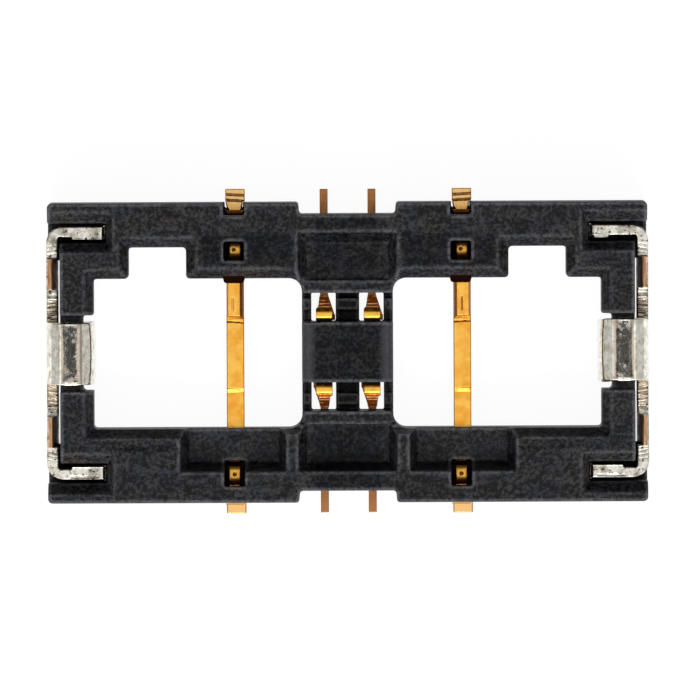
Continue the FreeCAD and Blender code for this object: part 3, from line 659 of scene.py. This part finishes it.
def rail_shape(barbs):
    """Gives the rail its barbs and dented ends on the arms, sharper inner corners, and along the end
    wall the set-back tabs, the ribbed reliefs and the cross lines."""
    def shape(point, a, c, travelled):
        x, y = point.x / MM, abs(point.y) / MM
        outward = 1 if point.y > 0 else -1
        top = ramp(c, 0.44 * MM, 0.50 * MM)
        inner = ramp(a, 0.0, -0.04 * MM)
        lean = min(max((c / MM - 0.10) / 0.50, 0.0), 1.0)
        if y > 1.10 and x < 2.85:
            start, end = barbs[0] if outward > 0 else barbs[1]
            barb = plateau(x, start - 0.004, start + 0.004, end - 0.004, end + 0.004)
            point.y -= outward * BARB_DEPTH * MM * barb * inner
            point.z += BARB_LIFT * MM * barb * ramp(a, -0.044 * MM, -0.052 * MM) * top
            crease = plateau(x, *CREASE_X) * peak(a / MM, 0.029, 0.013)
            point.z -= CREASE_DEPTH * MM * crease * top * (outward < 0)
            tip = ramp(x, *ARM_TIP_X)
            point.y += outward * a * 0.25 * tip
            point.z -= DENT_DEPTH * MM * tip * top * ramp(abs(a), 0.045 * MM, 0.030 * MM)
        elif y > 1.02:
            corner_x, corner_y, reach = INNER_CORNER
            corner = peak(math.hypot(x - corner_x, y - corner_y), 0, reach) * inner
            point.x += CORNER_FILL * MM * corner
            point.y += outward * CORNER_FILL * MM * corner
        if x > 2.88:
            tab = plateau(y, TAB[0] - 0.006, TAB[0] + 0.006, TAB[1] - 0.006, TAB[1] + 0.006)
            point.x += (TAB_SET_BACK * lean * tab - 0.008) * MM * inner
            ribs = plateau(y, 0.30, 0.33, TAB[0] - 0.03, TAB[0] - 0.01) * top
            wave = math.sin(y / 0.0085) + 0.7 * math.sin(y / 0.0052 + 40 * (x - 2.9))
            wave += math.sin(y / 0.021)
            band = math.exp(-((y - 0.5425) / 0.018) ** 2)
            band -= 1.2 * math.exp(-((y - 0.576) / 0.008) ** 2)
            point.z += (RIB_HEIGHT * wave * ramp(y, 0.54, 0.51) + RIB_BAND * band) * MM * ribs
            lines = plateau(y, *CROSS_LINES_Y) * top
            line = max(0.0, math.sin(y / 0.0065 + 3 * a / BRACKET_SHEET)) ** 6
            point.z -= CROSS_LINE_DEPTH * MM * lines * line
        return point
    return shape


def wrap_route(reach):
    """Section of the tongue over the end wall, from its free edge in the window. A row holds x, z and
    bend radius, in millimetres."""
    leg = WRAP_LEG_X - reach + BRACKET_HALF_SHEET
    rows = [
        (leg - 0.01, 0.16, 0), (leg, 0.45, 0.1), (leg, WRAP_MID_Z, BRACKET_BEND),
        (BRACKET_MID_X, WRAP_MID_Z, BRACKET_BEND), (BRACKET_MID_X, 0.02, 0)]
    return [(x * MM, z * MM, r * MM, -WRAP_HALF * MM, WRAP_HALF * MM) for x, z, r in rows]


def wrap_shape(shift):
    """Gives the wrap its bowed sides, its bulged free edge and its place along the wall."""
    def shape(point, a, c, travelled):
        x, z = point.x / MM, point.z / MM
        share = c / (WRAP_HALF * MM)
        crown = ramp(z, 0.55, 0.72)
        bow = crown * (1 - ramp(abs(x - WRAP_CROWN_X), 0.02, 0.12))
        point.y += (shift * crown + WRAP_BOW * share * bow) * MM
        point.x -= WRAP_BULGE * MM * (1 - share * share) * ramp(x, 2.64, 2.56)
        point.z += 0.0035 * MM * bow * (1 - share * share)
        point.z -= 0.010 * MM * ramp(abs(share), 0.93, 1.0) * bow
        return point
    return shape


# Tin plating on the rail's sheared edges: off-white, rough, pitted with dark specks (drawn 0.03 mm
# wide, coarser than real), brownish on the ribbed reliefs, and torn off the tabs down to bare alloy.
TIN_BRIGHT = "#f1ece0"
TIN_DULL = "#8f887a"
TIN_PIT = "#2c2620"
TIN_RIBBED = "#a08f79"
BARE_ALLOY = "#9a6a42"
BARE_PALE = "#d6ab84"
TEARS = (0.016 * MM, 0.20 * MM, 0.20 * MM)
TAB_RIM_X = (3.002 * MM, 2.990 * MM)
rail_tin, rail_tin_out = start_material("tin plating on sheared copper alloy")
place = add(rail_tin, "ShaderNodeTexCoord", {})
spot = add(rail_tin, "ShaderNodeSeparateXYZ", {"Vector": place.outputs["Object"]})
pits = add(rail_tin, "ShaderNodeTexNoise", {
    "Vector": place.outputs["Object"], "Scale": 1 / (0.040 * MM), "Detail": 4.0, "Roughness": 0.6})
blotch = add(rail_tin, "ShaderNodeTexNoise", {
    "Vector": place.outputs["Object"], "Scale": 1 / (0.11 * MM), "Detail": 3.0, "Roughness": 0.6})
dull = add(rail_tin, "ShaderNodeMapRange", {
    "Value": blotch.outputs["Fac"], "From Min": 0.40, "From Max": 0.66})
tin_tone = add(rail_tin, "ShaderNodeMix", {
    "Factor": dull.outputs[0], 6: linear(TIN_BRIGHT), 7: linear(TIN_DULL)}, data_type="RGBA")
speck = add(rail_tin, "ShaderNodeMapRange", {
    "Value": pits.outputs["Fac"], "From Min": 0.435, "From Max": 0.365})
facing = add(rail_tin, "ShaderNodeNewGeometry", {})
split = add(rail_tin, "ShaderNodeSeparateXYZ", {"Vector": facing.outputs["True Normal"]})
by_facing = add(rail_tin, "ShaderNodeMapRange", {
    "Value": split.outputs["Z"], "From Min": 0.3, "From Max": 0.7, "To Min": 0.12, "To Max": 1.0})
pitted = add(rail_tin, "ShaderNodeMath", {
    0: speck.outputs[0], 1: by_facing.outputs[0]}, operation="MULTIPLY")
specked = add(rail_tin, "ShaderNodeMix", {
    "Factor": pitted.outputs[0], 6: tin_tone.outputs[2], 7: linear(TIN_PIT)}, data_type="RGBA")
along = add(rail_tin, "ShaderNodeMath", {0: spot.outputs["Y"]}, operation="ABSOLUTE")
ribbed = add(rail_tin, "ShaderNodeMapRange", {
    "Value": along.outputs[0], "From Min": 0.54 * MM, "From Max": 0.50 * MM, "To Max": 0.8})
ribbed_tone = add(rail_tin, "ShaderNodeMix", {
    "Factor": ribbed.outputs[0], 6: specked.outputs[2], 7: linear(TIN_RIBBED)}, data_type="RGBA")
tab_start = add(rail_tin, "ShaderNodeMapRange", {
    "Value": along.outputs[0], "From Min": (TAB[0] + 0.005) * MM, "From Max": (TAB[0] + 0.02) * MM})
tab_end = add(rail_tin, "ShaderNodeMapRange", {
    "Value": along.outputs[0], "From Min": (TAB[1] + 0.005) * MM, "From Max": (TAB[1] - 0.01) * MM})
tab_top = add(rail_tin, "ShaderNodeMapRange", {
    "Value": spot.outputs["Z"], "From Min": 0.20 * MM, "From Max": 0.30 * MM})
offset = add(rail_tin, "ShaderNodeMath", {0: spot.outputs["X"]}, operation="ABSOLUTE")
tab_rim = add(rail_tin, "ShaderNodeMapRange", {
    "Value": offset.outputs[0], "From Min": TAB_RIM_X[0], "From Max": TAB_RIM_X[1]})
tab_length = add(rail_tin, "ShaderNodeMath", {
    0: tab_start.outputs[0], 1: tab_end.outputs[0]}, operation="MULTIPLY")
tab_area = add(rail_tin, "ShaderNodeMath", {
    0: tab_length.outputs[0], 1: tab_top.outputs[0]}, operation="MULTIPLY")
broken = add(rail_tin, "ShaderNodeMath", {
    0: tab_area.outputs[0], 1: tab_rim.outputs[0]}, operation="MULTIPLY")
torn = add(rail_tin, "ShaderNodeMapping", {
    "Vector": place.outputs["Object"], "Scale": [1 / size for size in TEARS]})
tears = add(rail_tin, "ShaderNodeTexNoise", {"Vector": torn.outputs[0], "Scale": 1.0, "Detail": 3.0})
torn_part = add(rail_tin, "ShaderNodeMapRange", {
    "Value": tears.outputs["Fac"], "From Min": 0.38, "From Max": 0.62})
alloy = add(rail_tin, "ShaderNodeMix", {
    "Factor": torn_part.outputs[0], 6: linear(BARE_ALLOY), 7: linear(BARE_PALE)}, data_type="RGBA")
bared = add(rail_tin, "ShaderNodeMix", {
    "Factor": broken.outputs[0], 6: ribbed_tone.outputs[2], 7: alloy.outputs[2]}, data_type="RGBA")
rail_satin = add(rail_tin, "ShaderNodeMapRange", {
    "Value": blotch.outputs["Fac"], "From Min": 0.3, "From Max": 0.7, "To Min": 0.28, "To Max": 0.46})
rail_relief = add(rail_tin, "ShaderNodeBump", {
    "Height": pits.outputs["Fac"], "Strength": 0.7, "Distance": 0.004 * MM})
rail_shader = add(rail_tin, "ShaderNodeBsdfPrincipled", {
    "Base Color": bared.outputs[2], "Metallic": 1.0, "Roughness": rail_satin.outputs[0],
    "Normal": rail_relief.outputs[0]})
rail_tin.node_tree.links.new(rail_shader.outputs[0], rail_tin_out.inputs[0])

# Tin plating on the wrap's rolled face: smooth, bright, faintly clouded, brown in streaks where the
# forming tool has rubbed it, greyer along the creases beside the crown, and duller near both ends.
TIN_ROLLED = "#fbf8ec"
TIN_CLOUDED = "#d2cfc2"
TIN_RUBBED = "#b99d80"
TIN_CREASED = "#a89c8d"
RUBBED_STREAKS = (0.03 * MM, 0.12 * MM, 0.10 * MM)
INNER_CREASE_X = (2.680 * MM, 0.026 * MM)
OUTER_CREASE_X = (2.846 * MM, 0.020 * MM)
wrap_tin, wrap_tin_out = start_material("tin plating on rolled copper alloy")
place = add(wrap_tin, "ShaderNodeTexCoord", {})
spot = add(wrap_tin, "ShaderNodeSeparateXYZ", {"Vector": place.outputs["Object"]})
drawn = add(wrap_tin, "ShaderNodeMapping", {
    "Vector": place.outputs["Object"], "Scale": [1 / size for size in RUBBED_STREAKS]})
streaks = add(wrap_tin, "ShaderNodeTexNoise", {
    "Vector": drawn.outputs[0], "Scale": 1.0, "Detail": 4.0, "Roughness": 0.6})
ragged = add(wrap_tin, "ShaderNodeTexNoise", {
    "Vector": place.outputs["Object"], "Scale": 1 / (0.07 * MM), "Detail": 4.0, "Roughness": 0.7})
mottle = add(wrap_tin, "ShaderNodeMapRange", {
    "Value": ragged.outputs["Fac"], "From Min": 0.42, "From Max": 0.62})
mottled = add(wrap_tin, "ShaderNodeMix", {
    "Factor": mottle.outputs[0], 6: linear(TIN_ROLLED), 7: linear(TIN_CLOUDED)}, data_type="RGBA")
rubbed = add(wrap_tin, "ShaderNodeMapRange", {
    "Value": streaks.outputs["Fac"], "From Min": 0.54, "From Max": 0.70})
rolled_tone = add(wrap_tin, "ShaderNodeMix", {
    "Factor": rubbed.outputs[0], 6: mottled.outputs[2], 7: linear(TIN_RUBBED)}, data_type="RGBA")
beside_crown = add(wrap_tin, "ShaderNodeMath", {0: spot.outputs["X"]}, operation="ABSOLUTE")
inner_crease = add(wrap_tin, "ShaderNodeMath", {
    0: beside_crown.outputs[0], 1: INNER_CREASE_X[0], 2: INNER_CREASE_X[1]}, operation="COMPARE")
outer_crease = add(wrap_tin, "ShaderNodeMath", {
    0: beside_crown.outputs[0], 1: OUTER_CREASE_X[0], 2: OUTER_CREASE_X[1]}, operation="COMPARE")
creases = add(wrap_tin, "ShaderNodeMath", {
    0: inner_crease.outputs[0], 1: outer_crease.outputs[0]}, operation="MAXIMUM")
creased_part = add(wrap_tin, "ShaderNodeMath", {0: creases.outputs[0], 1: 0.9}, operation="MULTIPLY")
creased = add(wrap_tin, "ShaderNodeMix", {
    "Factor": creased_part.outputs[0], 6: rolled_tone.outputs[2], 7: linear(TIN_CREASED)},
    data_type="RGBA")
along = add(wrap_tin, "ShaderNodeMath", {0: spot.outputs["Y"]}, operation="ABSOLUTE")
near_end = add(wrap_tin, "ShaderNodeMapRange", {
    "Value": along.outputs[0], "From Min": 0.12 * MM, "From Max": 0.30 * MM, "To Max": 0.15})
patches = add(wrap_tin, "ShaderNodeMath", {
    0: ragged.outputs["Fac"], 1: near_end.outputs[0]}, operation="ADD")
rolled_satin = add(wrap_tin, "ShaderNodeMapRange", {
    "Value": patches.outputs[0], "From Min": 0.56, "From Max": 0.72, "To Min": 0.10, "To Max": 0.30})
wrap_relief = add(wrap_tin, "ShaderNodeBump", {
    "Height": ragged.outputs["Fac"], "Strength": 0.35, "Distance": 0.004 * MM})
wrap_shader = add(wrap_tin, "ShaderNodeBsdfPrincipled", {
    "Base Color": creased.outputs[2], "Metallic": 1.0, "Roughness": rolled_satin.outputs[0],
    "Normal": wrap_relief.outputs[0]})
wrap_tin.node_tree.links.new(wrap_shader.outputs[0], wrap_tin_out.inputs[0])

for side_name, sign, reach, shift in (("left", -1, -0.011, -0.005), ("right", 1, 0.011, 0.020)):
    rail = strip_mesh(
        "end_rail_" + side_name, bracket_route(), BRACKET_SHEET,
        lambda u, v, w: (u, v, w), (16, 8), rail_shape(BARBS[side_name]), spacing=0.006 * MM)
    wrap = strip_mesh(
        "end_wrap_" + side_name, wrap_route(reach), BRACKET_SHEET + 0.0005 * MM,
        lambda u, v, w: (u, w, v), (40, 5), wrap_shape(shift))
    for kind, mesh, tin in (("rail", rail, rail_tin), ("wrap", wrap, wrap_tin)):
        if sign < 0:
            mesh.transform(Matrix.Scale(-1, 4, (1, 0, 0)))
            mesh.flip_normals()
        piece = new_piece("end_" + kind + "_" + side_name, mesh, tin)
        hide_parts("end_bracket_" + side_name)


# Table: a plain white sheet that the part stands on. What the camera sees of it is lifted to white,
# and it keeps the part's soft shadow.
PAPER_LIFT = 0.94
PAPER_REACH = 150 * MM
paper, paper_out = start_material("white paper")
path = add(paper, "ShaderNodeLightPath", {})
seen = add(paper, "ShaderNodeMath", {
    0: path.outputs["Is Camera Ray"], 1: path.outputs["Is Glossy Ray"]}, operation="MAXIMUM")
sheet = add(paper, "ShaderNodeBsdfDiffuse", {"Color": linear("#606060")})
lift = add(paper, "ShaderNodeMath", {0: seen.outputs[0], 1: PAPER_LIFT}, operation="MULTIPLY")
glow = add(paper, "ShaderNodeEmission", {"Color": linear("#ffffff"), "Strength": lift.outputs[0]})
both = add(paper, "ShaderNodeAddShader", {0: sheet.outputs[0], 1: glow.outputs[0]})
paper.node_tree.links.new(both.outputs[0], paper_out.inputs[0])
table = bpy.data.meshes.new("table")
corners = [(x * PAPER_REACH, y * PAPER_REACH, 0) for x, y in ((-1, -1), (1, -1), (1, 1), (-1, 1))]
table.from_pydata(corners, [], [(0, 1, 2, 3)])
table_top = bpy.data.objects.new("table", table)
table_top.location.z = -0.002 * MM
bpy.context.scene.collection.objects.link(table_top)
table.materials.append(paper)


# Light: a tent that is bright in front of the part, beside it and overhead, and dark behind it, with
# an opening straight above for the lens. A softbox in front gives the edges their thin highlights.
world = bpy.data.worlds.new("light tent")
bpy.context.scene.world = world
world.use_nodes = True
world.node_tree.nodes.clear()
tent_out = world.node_tree.nodes.new("ShaderNodeOutputWorld")
tent_place = add(world, "ShaderNodeTexCoord", {})
direction = add(world, "ShaderNodeSeparateXYZ", {"Vector": tent_place.outputs["Generated"]})
front = add(world, "ShaderNodeMapRange", {
    "Value": direction.outputs["Y"], "From Min": -0.10, "From Max": -0.45, "To Max": 0.85},
    interpolation_type="SMOOTHSTEP")
sideways = add(world, "ShaderNodeMath", {0: direction.outputs["X"]}, operation="ABSOLUTE")
beside = add(world, "ShaderNodeMapRange", {
    "Value": sideways.outputs[0], "From Min": 0.25, "From Max": 0.55, "To Max": 0.60},
    interpolation_type="SMOOTHSTEP")
overhead = add(world, "ShaderNodeMapRange", {
    "Value": direction.outputs["Z"], "From Min": 0.85, "From Max": 0.94, "To Max": 1.40},
    interpolation_type="SMOOTHSTEP")
behind = add(world, "ShaderNodeMapRange", {
    "Value": direction.outputs["Y"], "From Min": 0.20, "From Max": 0.55, "To Min": 1.0, "To Max": 0.06},
    interpolation_type="SMOOTHSTEP")
lens_hole = add(world, "ShaderNodeMapRange", {
    "Value": direction.outputs["Z"], "From Min": 0.993, "From Max": 0.985, "To Min": 0.04},
    interpolation_type="SMOOTHSTEP")
walls = add(world, "ShaderNodeMath", {0: front.outputs[0], 1: beside.outputs[0]}, operation="MAXIMUM")
tent = add(world, "ShaderNodeMath", {0: walls.outputs[0], 1: overhead.outputs[0]}, operation="MAXIMUM")
tent_shaded = add(world, "ShaderNodeMath", {
    0: tent.outputs[0], 1: behind.outputs[0]}, operation="MULTIPLY")
tent_dim = add(world, "ShaderNodeMath", {
    0: tent_shaded.outputs[0], 1: lens_hole.outputs[0]}, operation="MULTIPLY")
tent_path = add(world, "ShaderNodeLightPath", {})
tent_seen = add(world, "ShaderNodeMix", {
    0: tent_path.outputs["Is Camera Ray"], 2: tent_dim.outputs[0], 3: 1.0}, data_type="FLOAT")
tent_glow = add(world, "ShaderNodeBackground", {
    "Color": linear("#ffffff"), "Strength": tent_seen.outputs[0]})
world.node_tree.links.new(tent_glow.outputs[0], tent_out.inputs[0])

key = bpy.data.lights.new("front softbox", "AREA")
key.shape = "RECTANGLE"
key.size = 70 * MM
key.size_y = 25 * MM
key.energy = 0.045
key_lamp = bpy.data.objects.new("front_softbox", key)
key_lamp.location = (0, -70 * MM, 70 * MM)
key_lamp.rotation_euler = (math.radians(45), 0, 0)
bpy.context.scene.collection.objects.link(key_lamp)


# Camera: a long lens from above, as in a macro photograph of the mating side, a little to the rear
# of straight above.
CAMERA_DISTANCE = 155 * MM
CAMERA_TILT = math.radians(1.6)
CAMERA_ROLL = math.radians(-0.25)
VIEW_WIDTH = 6.993 * MM
SENSOR_WIDTH = 36
AIM = (0.024 * MM, 0.0255 * MM, 0.75 * MM)
lens = bpy.data.cameras.new("camera")
lens.sensor_width = SENSOR_WIDTH
lens.lens = SENSOR_WIDTH * CAMERA_DISTANCE / VIEW_WIDTH
camera = bpy.data.objects.new("camera", lens)
above = Vector((0, math.sin(CAMERA_TILT), math.cos(CAMERA_TILT)))
camera.location = Vector(AIM) + CAMERA_DISTANCE * above
camera.rotation_mode = "QUATERNION"
camera.rotation_quaternion = Quaternion((1, 0, 0), -CAMERA_TILT) @ Quaternion((0, 0, 1), CAMERA_ROLL)
bpy.context.scene.collection.objects.link(camera)
bpy.context.scene.camera = camera
bpy.context.scene.view_settings.view_transform = "Standard"
